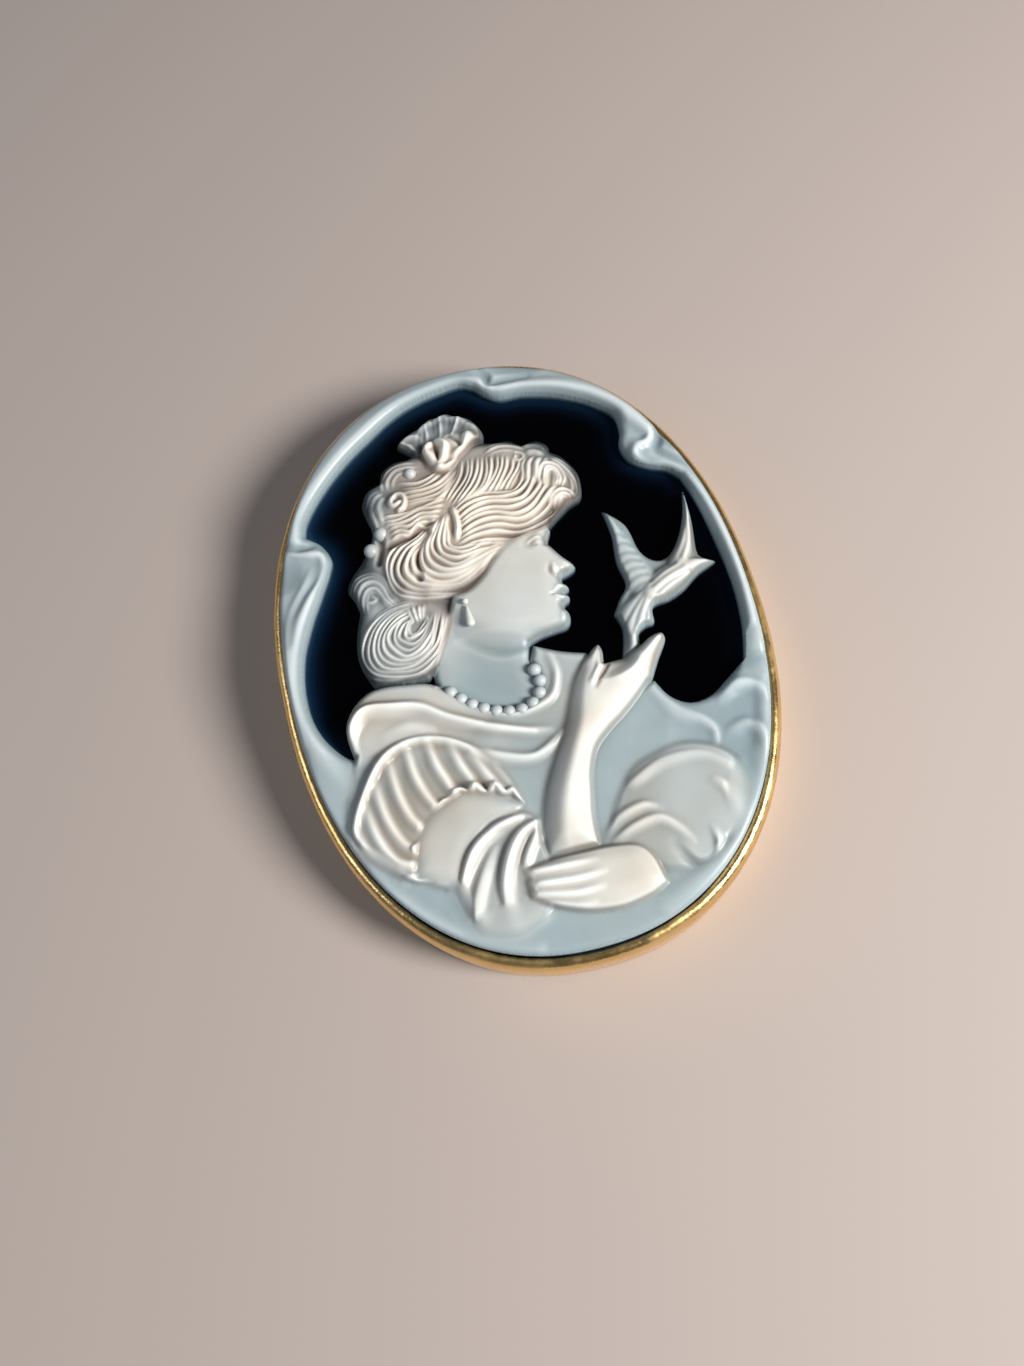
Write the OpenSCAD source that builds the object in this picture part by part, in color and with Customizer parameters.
// Oval cameo pendant: a two-layer stone carved with a lady's head in profile,
// in a gold band that a chain passes through at the back.
// +Z comes out of the face, +Y runs to the top of the head and X to the right.
// The origin is the middle of the oval, on the plane that the back rim rests on.

/* [Stone] */
// Width of the stone
stone_w = 30; // [26:0.5:34]
// Height of the stone
stone_h = 40; // [35:0.5:46]
// How full the oval is: 2 is an ellipse, more is squarer
oval_power = 2.2; // [2:0.1:2.6]
// Thickness of the dark layer
dark_t = 2; // [1.6:0.1:3]
// Width of the bevel round the dark layer's top edge
bevel_w = 0.35; // [0.2:0.05:0.6]
// Height of the highest carving above the dark layer
relief_h = 2.6; // [2:0.1:4.5]

/* [Gold setting] */
// Thickness of the gold band round the stone
band_t = 0.45; // [0.3:0.05:0.9]
// Depth of the dark edge that stays bare above the band
lip_drop = 0.25; // [0.15:0.05:0.4]
// Height of the burnished lip at the top of the band
lip_h = 0.25; // [0.15:0.05:0.4]
// Width of the ledge that carries the stone
seat_w = 1.1; // [0.6:0.1:2]

/* [Chain tube] */
// Outer diameter of the tube behind the stone
tube_d = 1.8; // [1.5:0.1:2.4]
// Diameter of the bore that the chain runs through
bore_d = 1.2; // [0.8:0.1:1.3]
// Height of the tube above the oval's middle, as a share of the half height
tube_up = 0.84; // [0.6:0.02:0.86]

/* [Beads] */
// Diameter of the carved pearls
pearl_d = 0.86; // [0.6:0.02:1]

/* [Fits] */
// Gap between neighbouring pieces
piece_gap = 0.05; // [0.03:0.01:0.1]
// Room above and below the chain tube
tube_gap = 0.15; // [0.1:0.05:0.3]

/* [Hidden] */

half_w = stone_w / 2;
half_h = stone_h / 2;
seat_z = tube_d + 2 * tube_gap;
stone_z = seat_z + piece_gap;
ground_z = stone_z + dark_t;
carve_z = ground_z + piece_gap;
band_top = ground_z - lip_drop;
outer_w = half_w + piece_gap + band_t;
outer_h = half_h + piece_gap + band_t;
tube_y = tube_up * half_h;
tube_z = tube_gap + tube_d / 2;
oval_sides = 80;
past = 1;
sliver = 2 * piece_gap;
// Height of the blocks that trim the carving. It is far above the carving, so that the
// diagonals of the blocks' sides stay clear of it and leave no needle-thin facets
trim_h = 400;

// Smooth curves through the rows of a table
function blend(a, b, c, d, t) =
    b + t * (c - a) / 2 + t * t * (2 * a - 5 * b + 4 * c - d) / 2
    + t * t * t * (3 * b - a - 3 * c + d) / 2;
function smooth_line(rows, steps) = [
    for (i = [0 : len(rows) - 2], s = [0 : steps - 1])
        blend(rows[max(i - 1, 0)], rows[i], rows[i + 1], rows[min(i + 2, len(rows) - 1)], s / steps),
    rows[len(rows) - 1]];

// A closed outline: rows [x, y] pass smoothly, and a third column of 1 marks a corner
function lean(rows, i) = let (n = len(rows), p = rows[(i + n - 1) % n], q = rows[(i + 1) % n])
    rows[i][2] == 1 ? [0, 0] : [q.x - p.x, q.y - p.y] / 2;
function hermite(a, b, la, lb, t) =
    (2 * t ^ 3 - 3 * t ^ 2 + 1) * a + (3 * t ^ 2 - 2 * t ^ 3) * b
    + (t ^ 3 - 2 * t ^ 2 + t) * la + (t ^ 3 - t ^ 2) * lb;
function smooth_loop(rows, steps) = let (n = len(rows)) [
    for (i = [0 : n - 1], s = [0 : steps - 1]) let (j = (i + 1) % n)
        hermite([rows[i].x, rows[i].y], [rows[j].x, rows[j].y], lean(rows, i), lean(rows, j), s / steps)];

// Tables give x and y in hundredths of the stone's half width and half height,
// and heights in hundredths of the highest carving
function spot(row) = [row.x * half_w / 100, row.y * half_h / 100];
function up(share) = share * relief_h / 100;

// Oval outline with the given half width and half height
function oval(w, h) = [for (i = [0 : oval_sides - 1]) let (a = 360 * i / oval_sides, c = cos(a), s = sin(a))
    [w * sign(c) * abs(c) ^ (2 / oval_power), h * sign(s) * abs(s) ^ (2 / oval_power)]];
module oval_block(w, h, z0, z1) translate([0, 0, z0]) linear_extrude(z1 - z0) polygon(oval(w, h));

module edge(rows, steps = 2) polygon([for (p = smooth_loop(rows, steps)) spot(p)]);
module grown() offset(delta = piece_gap) children();
module without_slivers() offset(delta = sliver) offset(delta = -sliver) children();
module slab(top) translate([-half_w, -half_h, 0]) cube([stone_w, stone_h, up(top)]);

// Everything after the first child is cut to the plan that the first child draws
module carve() translate([0, 0, carve_z]) intersection() {
    linear_extrude(trim_h) without_slivers() children(0);
    union() for (i = [1 : $children - 1]) children(i);
}
module hull_of(points) hull() polyhedron(points, [[for (i = [0 : len(points) - 1]) i]]);

// A rounded ridge on the ground: rows [x, y, half width, top]. Its section is given
// from the foot upwards, as shares of the half width and of the top
arch = [[1, 0], [0.88, 0.6], [0.45, 0.93]];
thin_arch = [[1, 0], [0.66, 0.8], [0, 1]];
ridge_sides = 6;
function post(row, section) = let (mid = spot(row))
    [for (p = section, i = [0 : p[0] > 0 ? ridge_sides - 1 : 0])
        let (a = 360 * i / ridge_sides, r = p[0] * row[2] * half_w / 100)
        [mid.x + r * cos(a), mid.y + r * sin(a), p[1] * up(row[3])]];
// Tables with this many rows are drawn straight from row to row
long_table = 6;
module ridge(rows, section = arch, steps = 2) {
    line = smooth_line(rows, len(rows) < long_table ? steps : 1);
    for (i = [0 : len(line) - 2]) hull_of(concat(post(line[i], section), post(line[i + 1], section)));
}

// A low dome: [x, y, half width, half height, foot, top], the last two as heights
dome_rings = [0, 0.45, 0.78, 0.95, 1];
dome_sides = 20;
function dome_at(d, row) = let (r = ((row.x - d[0]) / d[2]) ^ 2 + ((row.y - d[1]) / d[3]) ^ 2)
    d[4] + (d[5] - d[4]) * sqrt(max(0, 1 - r));
module dome(d) hull_of([for (r = dome_rings, i = [0 : dome_sides - 1])
    let (a = 360 * i / dome_sides, p = [d[0] + d[2] * r * cos(a), d[1] + d[3] * r * sin(a)], s = spot(p))
    each r < 1 ? [[s.x, s.y, up(dome_at(d, p))]] : [[s.x, s.y, up(d[4])], [s.x, s.y, 0]]]);

// A fan of ridges between guide lines, all with the same number of rows
function guide(guides, u) = let (last = len(guides) - 1, i = min(floor(u), last - 1))
    blend(guides[max(i - 1, 0)], guides[i], guides[i + 1], guides[min(i + 2, last)], u - i);
module fan(guides, count, section = thin_arch) for (k = [0 : count - 1])
    ridge(guide(guides, k * (len(guides) - 1) / (count - 1)), section);

// A fan of locks on a dome: [guide lines, how many locks, their half width]. The guide
// lines' rows are [x, y], the ends are narrower and the crests stand above the dome
tip_share = 0.45;
lock_crest = 7;
module strands(locks, base) for (k = [0 : locks[1] - 1])
    let (rows = guide(locks[0], k * (len(locks[0]) - 1) / (locks[1] - 1)), last = len(rows) - 1)
        ridge([for (i = [0 : last]) [rows[i].x, rows[i].y, locks[2] * (i == 0 || i == last ? tip_share : 1),
            dome_at(base, rows[i]) + lock_crest]], thin_arch);

// Inner edge of the border, from the lower left, over the top, to the lower right: x, y, corner
window_edge = [
    [-77, -26, 1], [-82, -23], [-88, -16], [-91, -8], [-91, 2], [-88, 12], [-82, 22], [-76, 30],
    [-71, 37], [-69, 42], [-72, 48], [-78, 52, 1], [-77, 57], [-71, 65], [-60, 74], [-45, 82],
    [-24, 90], [0, 93], [9, 91], [14, 87], [20, 84], [31, 83], [43, 80], [55, 75], [63, 70, 1],
    [67, 66], [67, 60], [65, 55], [67, 49], [73, 45], [81, 42], [86, 38, 1], [89, 28], [91, 14],
    [92, -2], [90, -16], [86, -27, 1]];

// Upper limit of the figure's clothes against the border: x, y, corner
clothes_edge = [
    [-120, -56, 1], [-88, -56, 1], [-84, -42], [-77, -26, 1], [0, -10, 1], [86, -27, 1], [120, -25, 1],
    [120, -120, 1], [-120, -120, 1]];

// Tops of the flat parts between the ridges, piece by piece
border_floor_share = 26;
face_floor_share = 36;
hair_floor_share = 36;
petal_floor_share = 24;
bodice_floor_share = 40;
sleeve_floor_share = 46;
arm_floor_share = 44;
hand_floor_share = 48;
far_sleeve_floor_share = 40;
drape_floor_share = 30;
bird_floor_share = 26;

// Crest of the border's rounded rim: x, y, half width, top
left_crest = [
    [-78, -30, 3, 30], [-85, -26, 4, 44], [-92, -17, 5, 50], [-96, -4, 5, 52], [-96, 6, 5, 52],
    [-91, 18, 5, 52], [-84, 28, 4, 52], [-76, 37, 4, 52], [-73, 43, 4, 50], [-76, 48, 4, 46],
    [-84, 50, 3, 36]];
outer_crest = [
    [-97, -24, 2, 40], [-99, -6, 2, 42], [-98, 10, 2, 42], [-92, 26, 2, 40], [-83, 37, 2, 32]];
top_crest = [
    [-86, 49, 3, 34], [-82, 54, 4, 46], [-75, 65, 5, 50], [-63, 76, 5, 52], [-46, 86, 5, 52],
    [-24, 94, 5, 52], [0, 96, 5, 52], [12, 95, 4, 48], [17, 91, 3, 38]];
right_crest = [
    [13, 93, 3, 38], [20, 88, 4, 46], [33, 87, 4, 50], [47, 83, 5, 50], [61, 77, 5, 50],
    [71, 69, 5, 50], [76, 62, 4, 46], [77, 57, 3, 38], [71, 55, 3, 36]];
side_crest = [
    [78, 56, 2, 34], [69, 55, 3, 46], [70, 50, 4, 48], [79, 46, 4, 50], [88, 40, 4, 52],
    [93, 28, 4, 52], [96, 12, 4, 52], [97, -4, 4, 50], [94, -20, 4, 46], [90, -28, 3, 40]];

module stone_plan() polygon(oval(half_w - bevel_w, half_h - bevel_w));
module clothes_plan() edge(clothes_edge);
module window_plan() edge(window_edge);
module border_plan() difference() {
    stone_plan();
    window_plan();
    grown() clothes_plan();
}

// The head, in hundredths of its height, forward and up from the chin: a plain classical profile
head_share = [81, 61];
chin_at = [24, -3];
function head_spot(row) =
    [chin_at.x + row.x * head_share.x / 100, chin_at.y + row.y * head_share.y / 100, row[2]];
profile = [
    [-8, 74, 1], [2, 66], [1.8, 57], [-1.2, 50], [0.8, 45], [4.4, 39], [8.6, 33.6], [8, 31],
    [4.2, 29.2], [0.6, 28.2], [0.4, 25.4], [2.4, 22.8], [2.2, 20.8], [-0.6, 19.2, 1], [1.6, 17.4],
    [0.8, 14.8], [-2.2, 12.6], [-0.8, 8.4], [-1.4, 3.8], [-4.4, 0.8], [-10, 0.2], [-18, -0.6],
    [-24, -2.4, 1]];
neck_edge = [
    [3, -11, 1], [5, -19], [0, -25], [-12, -25], [-24, -21], [-38, -12, 1], [-38, 20, 1], [-30, 50, 1]];
module head_plan() edge(concat([for (row = profile) head_spot(row)], neck_edge));

// Forms of the face, in the same units: forward, up, half width, top
skull_dome = [-6.6, 16.6, 34, 26, 40, 66];
jaw_dome = [-14.3, -7.6, 32, 26, 30, 52];
face_ridges = [
    [[0.5, 55, 3, 54], [2, 47, 2.4, 54], [6.5, 36, 2.6, 54], [3.2, 31.2, 2.7, 52]],
    [[-8, 54.5, 1.6, 58], [-3, 56, 2, 62], [1, 54, 1.6, 56]],
    [[-10, 49, 1.2, 58], [-6.5, 51.2, 1.6, 63], [-2.6, 49.4, 1.2, 56]],
    [[-4.6, 20.4, 1, 52], [-1, 21.6, 1.8, 56], [1.6, 21.6, 1.6, 52]],
    [[-4.4, 18, 1, 50], [-1.4, 16.6, 2, 55], [0.8, 16.4, 1.6, 50]],
    [[-8, 6, 4, 48], [-4, 6, 3.6, 52], [-1.6, 6.5, 3, 48]]];
function face_row(row) = [head_spot(row).x, head_spot(row).y, row[2], row[3]];

// Outline of the hair: x, y, corner
hair_edge = [
    [28, 34, 1], [36, 38], [42, 40], [44, 45], [44, 50], [42, 54], [39, 58], [35, 60, 1], [35, 63],
    [32, 65.5], [28, 66], [24, 65, 1], [19, 68.5], [13, 69], [8, 70, 1], [-10, 73], [-27, 71, 1],
    [-33, 71.5], [-39, 69], [-41, 64, 1], [-47, 63.5], [-51, 59], [-51, 55], [-48, 50, 1], [-46, 44],
    [-50, 40], [-57, 36, 1], [-62, 34.5], [-65.3, 30], [-63, 25], [-62, 21, 1], [-65, 15], [-67, 7],
    [-66, 1], [-63, -5, 1], [-55, -5.5], [-48, -5.5], [-41, -7, 1], [-36, -3], [-32, 4], [-28, 9],
    [-25, 14], [-22, 19, 1], [-13, 20], [-5, 23], [2, 28], [10, 30.5], [20, 30.5]];
// The skull under the hair, and the knot of hair at the nape
hair_dome = [-6.4, 42.6, 62, 36, 44, 84];
knot_dome = [-44.3, 12.4, 24, 19, 40, 74];

// Guide lines of the locks, each fan with its number of locks and their half width: x, y
crown_locks = [[
    [[-10, 49], [-16, 56], [-20, 62], [-16, 68]],
    [[-6, 50], [0, 56], [4, 62], [2, 68]],
    [[4, 50], [12, 54], [17, 60], [17, 66]]], 4, 3.8];
brow_locks = [[
    [[-10, 47], [2, 51], [14, 50], [28, 58], [36, 60]],
    [[-10, 42], [2, 45], [16, 42], [30, 46], [41, 51]],
    [[-12, 36], [2, 36], [14, 37], [28, 38], [38, 42]]], 4, 3.8];
side_locks = [[
    [[-12, 37], [-18, 33], [-12, 29], [-2, 31], [10, 33]],
    [[-12, 46], [-27, 40], [-29, 31], [-18, 26], [2, 29]],
    [[-22, 47], [-42, 42], [-46, 31], [-38, 23], [-16, 21]]], 4, 3.8];
nape_locks = [[
    [[-46, 51], [-34, 50], [-24, 50], [-14, 48]],
    [[-42, 57], [-32, 56], [-20, 57], [-12, 52]],
    [[-36, 65], [-26, 62], [-16, 62], [-10, 66]]], 3, 3.6];
knot_locks = [[
    [[-48, 22], [-59, 18], [-61.5, 6.6], [-54, -3], [-40, -4]],
    [[-46, 18], [-54, 14], [-54, 5], [-46, 0], [-34, 6]],
    [[-42, 16], [-47, 12], [-46, 7], [-40, 6], [-28, 14]]], 3, 4.2];
curl_lock = [[-52, 24, 2, 44], [-57, 31, 3, 50], [-62, 29.6, 3, 48], [-61, 24, 3, 46], [-56, 22, 2, 44]];

// Petals round the crown: middle x, y, length along and across, turn, top
flower_petals = [
    [-21, 76, 8, 4, 20, 40], [-11, 80, 4, 5, 0, 40], [-5, 80, 4, 5, 0, 42], [1, 77.5, 5, 4, -30, 44],
    [5, 72, 4.5, 4, -60, 62]];
crown_flower = [[-12, 65, 3, 84], [-12, 70, 5, 96], [-13, 74, 4, 84]];
flower_edge = [
    [-30, 76, 1], [-24, 79.5], [-18, 81], [-13, 83.5], [-9, 83], [-5, 84], [-1, 82], [4, 80], [7, 77],
    [9, 73], [8, 70, 1], [2, 67], [-6, 64.5], [-13, 61, 1], [-18, 65.5], [-22, 71]];
// Pearls in the hair: x, y, top
hair_pearl_d = 1.2 * pearl_d;
pearl_foot_d = 0.8 * pearl_d;
pearl_row = [[-44, 47.5, 56], [-51, 42.5, 50], [-28, 65.5, 64]];

// Route of the necklace, shown by the pearls' middles: x, y
necklace_row = [[-34, -11.5], [-26, -18], [-16, -22.5], [-6, -24], [1, -21.5], [3.6, -16], [1.6, -10]];
necklace_pearls = 11;
necklace_top = 52;
cord_floor_share = 36;
cord_top = 46;
cord_half = 1.6;
pearl_track_w = pearl_d + 2 * piece_gap;

// The earring, which hangs in a pocket in the neck: x, y, half width, top
earring_steps = 4;
earring_row = [[-17.5, 15, 1.6, 60], [-17.5, 11, 1.6, 62], [-17.5, 6.5, 2.2, 64]];
earring_floor = 40;

// Outlines of the clothes, arms and bird: x, y, corner
bodice_edge = [
    [-77, -26, 1], [-78, -17], [-74, -11], [-67, -7], [-60, -6], [-50, -7], [-41, -8.5], [-34, -12],
    [-26, -18], [-16, -22.5], [-6, -24], [1, -21.5], [3.6, -16], [2, -10, 1], [5, -5, 1], [15, -9],
    [26, -12, 1], [22, -24], [6, -46], [0, -66, 1], [-50, -66, 1], [-88, -56, 1], [-84, -42]];
sleeve_edge = [
    [-84, -48], [-77, -37], [-67, -28], [-55, -24.5], [-42, -25.5], [-30, -30], [-22, -37], [-16, -46],
    [-14, -54, 1], [-20, -50.5, 1], [-30, -48, 1], [-38, -46, 1], [-46, -48], [-54, -52], [-59, -59],
    [-61, -66, 1], [-54, -69, 1], [-62, -68.5], [-70, -65], [-79, -58]];
near_arm_edge = [
    [-64, -67, 1], [-63, -56], [-56, -48], [-46, -44], [-36, -43], [-26, -46, 1], [-14, -53, 1],
    [-20, -58, 1], [-34, -62], [-40, -68], [-46, -74, 1], [-56, -71]];
wrap_edge = [
    [-49, -73, 1], [-45, -67], [-39, -60], [-31, -55.5], [-21, -54], [-14, -55.5], [-10, -59, 1],
    [-11, -64], [-12, -71, 1], [-22, -72, 1], [-23, -80], [-28, -91, 1], [-42, -87], [-47, -80]];
raised_arm_edge = [
    [-12, -71, 1], [-11, -60], [-6, -50], [2, -40], [8, -32], [12, -25], [16, -20], [21, -16], [27, -12],
    [31, -10.5], [32, -13, 1], [31, -17, 1], [39, -17, 1], [46, -15], [52, -12.5], [57, -12], [58, -14.5],
    [53, -20], [48, -26, 1], [40, -31], [33, -35], [25, -39], [19, -43], [15, -49], [13, -55], [11, -62],
    [10, -71, 1]];
folded_hand_edge = [
    [-22, -72, 1], [-10, -70.5], [2, -70.5], [14, -71], [24, -73], [29, -78], [31, -86, 1], [24, -88.5],
    [12, -90], [0, -89], [-8, -87], [-15, -84.5], [-22, -81, 1]];
far_sleeve_edge = [
    [15, -64, 1], [21, -57], [29, -50.5], [40, -47.5], [51, -46.5], [62, -49], [70, -54], [73, -61],
    [71, -67], [66, -73.5], [58, -79], [49, -83], [41, -84.5], [32, -83, 1], [20, -78, 1], [8, -70, 1]];
drape_edge = [
    [-120, -56, 1], [-88, -56, 1], [20, -30, 1], [49, -26, 1], [53, -32], [60, -35.5], [69, -35],
    [77, -31.5], [86, -27, 1], [120, -25, 1], [120, -120, 1], [-120, -120, 1]];
bird_edge = [
    [41, -2, 1], [43, -8], [40, -16.5, 1], [47, -14.5, 1], [47, -10], [51, -8.5], [56, -8], [57.5, -3],
    [65, -2], [72, 0], [80, 4], [89, 6.5, 1], [84, 9], [82.5, 12], [84.5, 22], [85.5, 35, 1],
    [81.5, 25], [76, 17], [70, 12.5], [64, 12.5], [59.5, 17], [57, 27], [49, 34, 1], [50, 25],
    [48.5, 15], [49.5, 7], [45, 2.5]];

figure_edges = [bodice_edge, sleeve_edge, near_arm_edge, wrap_edge, raised_arm_edge, folded_hand_edge,
                far_sleeve_edge];

// How many folds each fan of guide lines gets
mantle_count = 4;
pleat_count = 7;
wrap_count = 4;
sleeve_fold_count = 4;

// Folds and limbs: x, y, half width, top
mantle_folds = [
    [[-75, -18, 4, 56], [-70, -12, 5, 66], [-56, -12, 6, 72], [-44, -14, 5, 70], [-34, -22, 4, 64],
     [-20, -28, 4, 60], [-2, -32, 3, 52]],
    [[-74, -26, 4, 50], [-66, -21, 5, 60], [-54, -18, 6, 66], [-44, -21, 5, 64], [-34, -28, 4, 60],
     [-20, -33, 4, 56], [4, -36, 3, 50]],
    [[-66, -29, 3, 50], [-58, -25, 4, 58], [-46, -24, 4, 62], [-36, -28, 4, 60], [-22, -35, 4, 56],
     [-6, -39.5, 3, 50], [9, -33, 3, 46]]];
sleeve_crest = [
    [-85, -51, 4, 56], [-78, -39, 4, 70], [-67, -30, 4, 78], [-55, -26, 4, 80], [-42, -27, 4, 78],
    [-31, -31, 4, 70]];
pleats = [
    [[-80, -49, 4, 60], [-76, -57, 5, 62], [-69, -63.5, 4, 58], [-60, -65.5, 3, 54]],
    [[-70, -38, 4, 68], [-70, -49, 5, 72], [-66, -57, 5, 68], [-61, -62, 3, 62]],
    [[-58, -29, 4, 72], [-56, -37, 5, 78], [-52, -44, 5, 76], [-49, -49, 3, 66]],
    [[-44, -28, 4, 70], [-41, -35, 5, 76], [-38, -41, 4, 74], [-36, -46, 3, 64]],
    [[-33, -31, 3, 62], [-27, -37, 4, 68], [-21, -43, 4, 66], [-17, -51, 2, 54]]];
frill = [
    [-55, -68, 2, 62], [-60.3, -60, 2.6, 77], [-56, -55, 2.4, 80], [-52, -51, 2.4, 80],
    [-45, -48.5, 2.4, 80], [-38, -47, 2.4, 80], [-31, -49, 2.4, 76], [-21, -50.5, 2.2, 70],
    [-15, -53, 2, 60]];
near_arm_swell = [[-56, -68, 9, 50], [-46, -57, 12, 62], [-30, -52, 8, 60], [-17, -53, 4, 52]];
wrap_folds = [
    [[-46, -74, 4, 56], [-43, -67, 5, 70], [-37, -61, 5, 74], [-26, -57, 4, 68], [-13, -58, 3, 58]],
    [[-43, -84, 5, 52], [-36, -74, 6, 66], [-30, -66, 6, 72], [-22, -61, 4, 68], [-12, -60, 3, 58]],
    [[-33, -90, 5, 50], [-29, -80, 6, 66], [-25, -71, 6, 72], [-18, -65, 5, 66], [-11, -62, 3, 56]]];
forearm = [
    [-1, -71, 12, 66], [2, -60, 12, 72], [7, -48, 12, 76], [17, -36, 13, 78], [27, -26, 13, 78],
    [36, -21, 13, 74], [44, -18, 9, 68]];
thumb = [[16, -24, 5, 70], [24, -16, 4, 70], [31, -11, 2.4, 62]];
fingers = [[36, -22, 6, 72], [47, -17.5, 4, 74], [57, -13, 2.4, 66]];
hand_back = [[30, -82, 9, 70], [18, -80, 13, 80], [4, -79, 13, 80], [-6, -78, 10, 74]];
hand_fingers = [
    [[8, -73.5, 4, 78], [-6, -73, 3.4, 80], [-21, -74, 2.4, 68]],
    [[6, -78, 4, 82], [-6, -77.5, 3.4, 84], [-23, -78, 2.4, 70]],
    [[6, -83, 4, 78], [-6, -82.5, 3.4, 80], [-19, -81.5, 2.4, 66]]];
sleeve_folds = [
    [[18, -64, 3, 46], [28, -62, 4, 60], [36, -70, 5, 62], [42, -80, 5, 54]],
    [[22, -58, 4, 48], [38, -56, 7, 66], [50, -66, 8, 66], [52, -82, 5, 54]],
    [[30, -52, 4, 50], [50, -50, 6, 62], [64, -60, 7, 62], [60, -78, 5, 52]]];
sleeve_swell = [47, -68, 27, 22, 34, 62];
drape_folds = [
    [[54, -34, 3, 38], [62, -39, 4, 46], [64.5, -46.3, 4, 44], [60, -52, 3, 40]],
    [[70, -36, 3, 38], [80, -34, 5, 46], [88, -36, 4, 44], [94, -44, 3, 36]]];
wing_near = [[53, 3, 4, 52], [53, 14, 5, 56], [54, 24, 3, 48], [50, 33, 1.4, 36]];
wing_far = [[74, 6, 4, 52], [81, 17, 3, 54], [83.5, 25, 2, 48], [85, 33, 1, 36]];
bird_body = [
    [44, -12, 3, 46], [50, -2, 6, 56], [60, 4, 8, 64], [72, 7, 6, 64], [80, 8, 4, 58],
    [88, 6.5, 1, 44]];

module gold_setting() color("gold") difference() {
    union() {
        difference() {
            oval_block(outer_w, outer_h, 0, band_top);
            oval_block(half_w - seat_w, half_h - seat_w, -past, seat_z + past);
            oval_block(half_w + piece_gap, half_h + piece_gap, seat_z, band_top - lip_h);
            oval_block(half_w - piece_gap, half_h - piece_gap, seat_z, band_top + past);
        }
        intersection() {
            oval_block(outer_w - band_t / 2, outer_h - band_t / 2, 0, seat_z);
            translate([-outer_w, tube_y, tube_z]) rotate([0, 90, 0])
                cylinder(d = tube_d, h = 2 * outer_w, $fn = 48);
        }
    }
    translate([-outer_w - past, tube_y, tube_z]) rotate([0, 90, 0])
        cylinder(d = bore_d, h = 2 * (outer_w + past), $fn = 48);
}

// The slab's rings, from the back to the top: how far in from the edge, and height
module dark_ground() color("midnightblue") {
    rings = [[bevel_w, stone_z], [0, stone_z + bevel_w], [0, ground_z - 2 * bevel_w], [bevel_w, ground_z]];
    n = oval_sides;
    points = [for (r = rings, p = oval(half_w - r[0], half_h - r[0])) [p.x, p.y, r[1]]];
    sides = [for (k = [0 : len(rings) - 2], i = [0 : n - 1]) let (j = (i + 1) % n)
        [k * n + i, (k + 1) * n + i, (k + 1) * n + j, k * n + j]];
    polyhedron(points, concat(sides, [[for (i = [0 : n - 1]) i], [for (i = [n - 1 : -1 : 0]) 3 * n + i]]));
}

module scroll_border() color("lightsteelblue") carve() {
    border_plan();
    slab(border_floor_share);
    for (crest = [left_crest, outer_crest, top_crest, right_crest, side_crest]) ridge(crest);
}

module pearl_track(rows) for (i = [0 : len(rows) - 2]) hull() for (p = [rows[i], rows[i + 1]])
    translate(spot(p)) circle(d = pearl_track_w, $fn = 10);
function necklace_spot(share) =
    let (rows = necklace_row, last = len(rows) - 1, u = share * last, i = floor(u))
    blend(rows[max(i - 1, 0)], rows[i], rows[i + 1], rows[min(i + 2, last)], u - i);
module necklace_plan() pearl_track(smooth_line(necklace_row, 2));
module earring_plan() hull() for (row = earring_row)
    translate(spot(row)) circle(r = row[2] * half_w / 100, $fn = 16);

module face_and_neck() color("antiquewhite") difference() {
    carve() {
        difference() {
            head_plan();
            grown() edge(hair_edge);
            grown() necklace_plan();
            grown() edge(bodice_edge);
        }
        slab(face_floor_share);
        dome(skull_dome);
        dome(jaw_dome);
        for (rows = face_ridges) ridge([for (row = rows) face_row(row)]);
    }
    translate([0, 0, carve_z + up(earring_floor)]) linear_extrude(trim_h) grown() earring_plan();
}

module hair() color("linen") carve() {
    difference() {
        edge(hair_edge);
        grown() edge(flower_edge);
        grown() hair_pearl_plan();
    }
    slab(hair_floor_share);
    dome(hair_dome);
    dome(knot_dome);
    strands(crown_locks, hair_dome);
    strands(brow_locks, hair_dome);
    strands(side_locks, hair_dome);
    strands(nape_locks, hair_dome);
    strands(knot_locks, knot_dome);
    ridge(curl_lock, thin_arch);
}

// A petal swells from two round ends to a smaller round top
petal_reach = 0.33;
petal_top = 0.5;
module petal(row) let (r = row[3] * half_w / 100, half_up = up(row[5]) / 2)
    translate(spot(row)) rotate(row[4]) hull() {
        for (side = [-1, 1]) translate([side * petal_reach * row[2] * half_w / 100, 0, 0])
            cylinder(r = r, h = half_up, $fn = 16);
        translate([0, 0, half_up]) cylinder(r = petal_top * r, h = half_up, $fn = 12);
    }
module hair_flowers() color("gainsboro") carve() {
    edge(flower_edge);
    slab(petal_floor_share);
    for (row = flower_petals) petal(row);
    ridge(crown_flower);
}

module hair_pearl_plan() for (row = pearl_row) translate(spot(row)) circle(d = hair_pearl_d, $fn = 16);
module hair_pearls() color("white") translate([0, 0, carve_z]) for (row = pearl_row) translate(spot(row)) {
    cylinder(d = pearl_foot_d, h = up(row[2]) - hair_pearl_d / 2, $fn = 16);
    translate([0, 0, up(row[2]) - hair_pearl_d / 2]) sphere(d = hair_pearl_d, $fn = 16);
}

module earring() color("white") translate([0, 0, carve_z + up(earring_floor) + piece_gap])
    ridge([for (row = earring_row) [row.x, row.y, row[2], row[3] - earring_floor]], arch, earring_steps);

module necklace() color("white") {
    carve() {
        necklace_plan();
        slab(cord_floor_share);
        ridge([for (row = necklace_row) [row.x, row.y, cord_half, cord_top]], thin_arch);
    }
    for (k = [0 : necklace_pearls - 1])
        translate(spot(necklace_spot((k + 0.5) / necklace_pearls)))
            translate([0, 0, carve_z + up(necklace_top) - pearl_d / 2]) sphere(d = pearl_d, $fn = 10);
}

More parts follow.
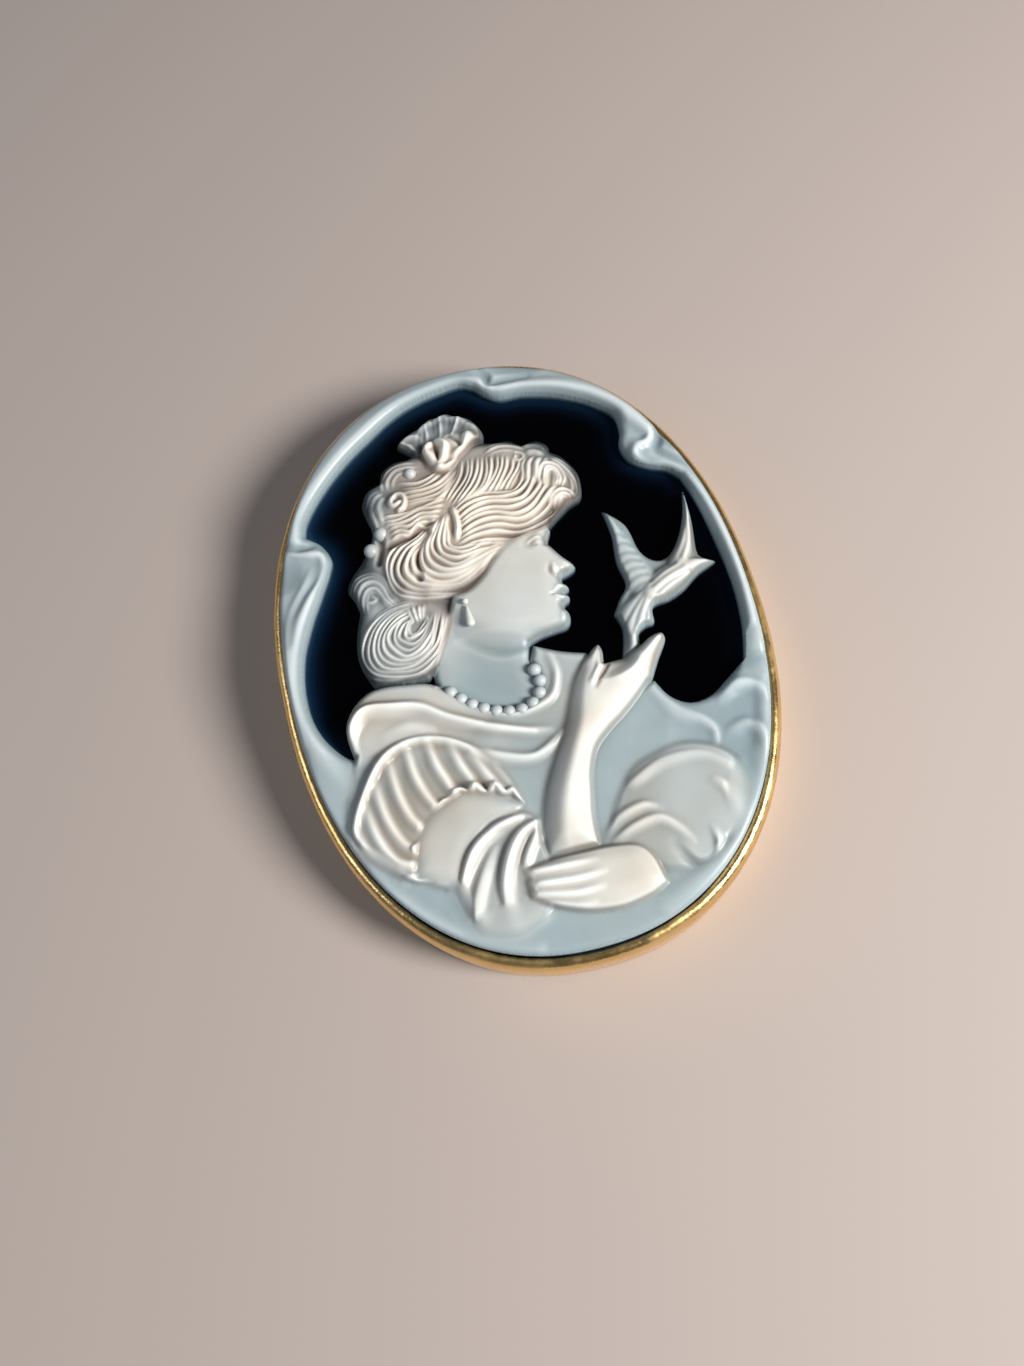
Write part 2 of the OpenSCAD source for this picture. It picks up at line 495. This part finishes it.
module bodice() color("gainsboro") carve() {
    difference() {
        intersection() {
            stone_plan();
            edge(bodice_edge);
        }
        grown() necklace_plan();
        grown() edge(hair_edge);
        grown() edge(sleeve_edge);
        grown() edge(near_arm_edge);
        grown() edge(wrap_edge);
        grown() edge(raised_arm_edge);
        grown() edge(folded_hand_edge);
    }
    slab(bodice_floor_share);
    fan(mantle_folds, mantle_count, arch);
}

module near_sleeve() color("whitesmoke") carve() {
    edge(sleeve_edge);
    slab(sleeve_floor_share);
    fan(pleats, pleat_count);
    ridge(sleeve_crest);
    ridge(frill);
}

module near_arm() color("antiquewhite") carve() {
    difference() {
        edge(near_arm_edge);
        grown() edge(sleeve_edge);
        grown() edge(wrap_edge);
    }
    slab(arm_floor_share);
    ridge(near_arm_swell);
}

module elbow_wrap() color("whitesmoke") carve() {
    difference() {
        edge(wrap_edge);
        grown() edge(raised_arm_edge);
        grown() edge(folded_hand_edge);
        grown() edge(sleeve_edge);
    }
    slab(arm_floor_share);
    fan(wrap_folds, wrap_count, arch);
}

module raised_arm() color("antiquewhite") carve() {
    difference() {
        edge(raised_arm_edge);
        grown() edge(folded_hand_edge);
    }
    slab(arm_floor_share);
    ridge(forearm);
    ridge(thumb);
    ridge(fingers);
}

module folded_hand() color("antiquewhite") carve() {
    edge(folded_hand_edge);
    slab(hand_floor_share);
    ridge(hand_back);
    for (rows = hand_fingers) ridge(rows);
}

module far_sleeve() color("gainsboro") carve() {
    difference() {
        edge(far_sleeve_edge);
        grown() edge(folded_hand_edge);
        grown() edge(raised_arm_edge);
    }
    slab(far_sleeve_floor_share);
    dome(sleeve_swell);
    fan(sleeve_folds, sleeve_fold_count, arch);
}

module drape() color("lightsteelblue") carve() {
    difference() {
        intersection() {
            stone_plan();
            edge(drape_edge);
        }
        for (rows = figure_edges) grown() edge(rows);
    }
    slab(drape_floor_share);
    for (rows = drape_folds) ridge(rows);
}

module bird() color("whitesmoke") carve() {
    difference() {
        edge(bird_edge);
        grown() edge(raised_arm_edge);
        grown() without_slivers() border_plan();
    }
    slab(bird_floor_share);
    ridge(bird_body);
    ridge(wing_near);
    ridge(wing_far);
}

gold_setting();
dark_ground();
scroll_border();
face_and_neck();
hair();
hair_flowers();
hair_pearls();
earring();
necklace();
bodice();
near_sleeve();
near_arm();
elbow_wrap();
raised_arm();
folded_hand();
far_sleeve();
drape();
bird();
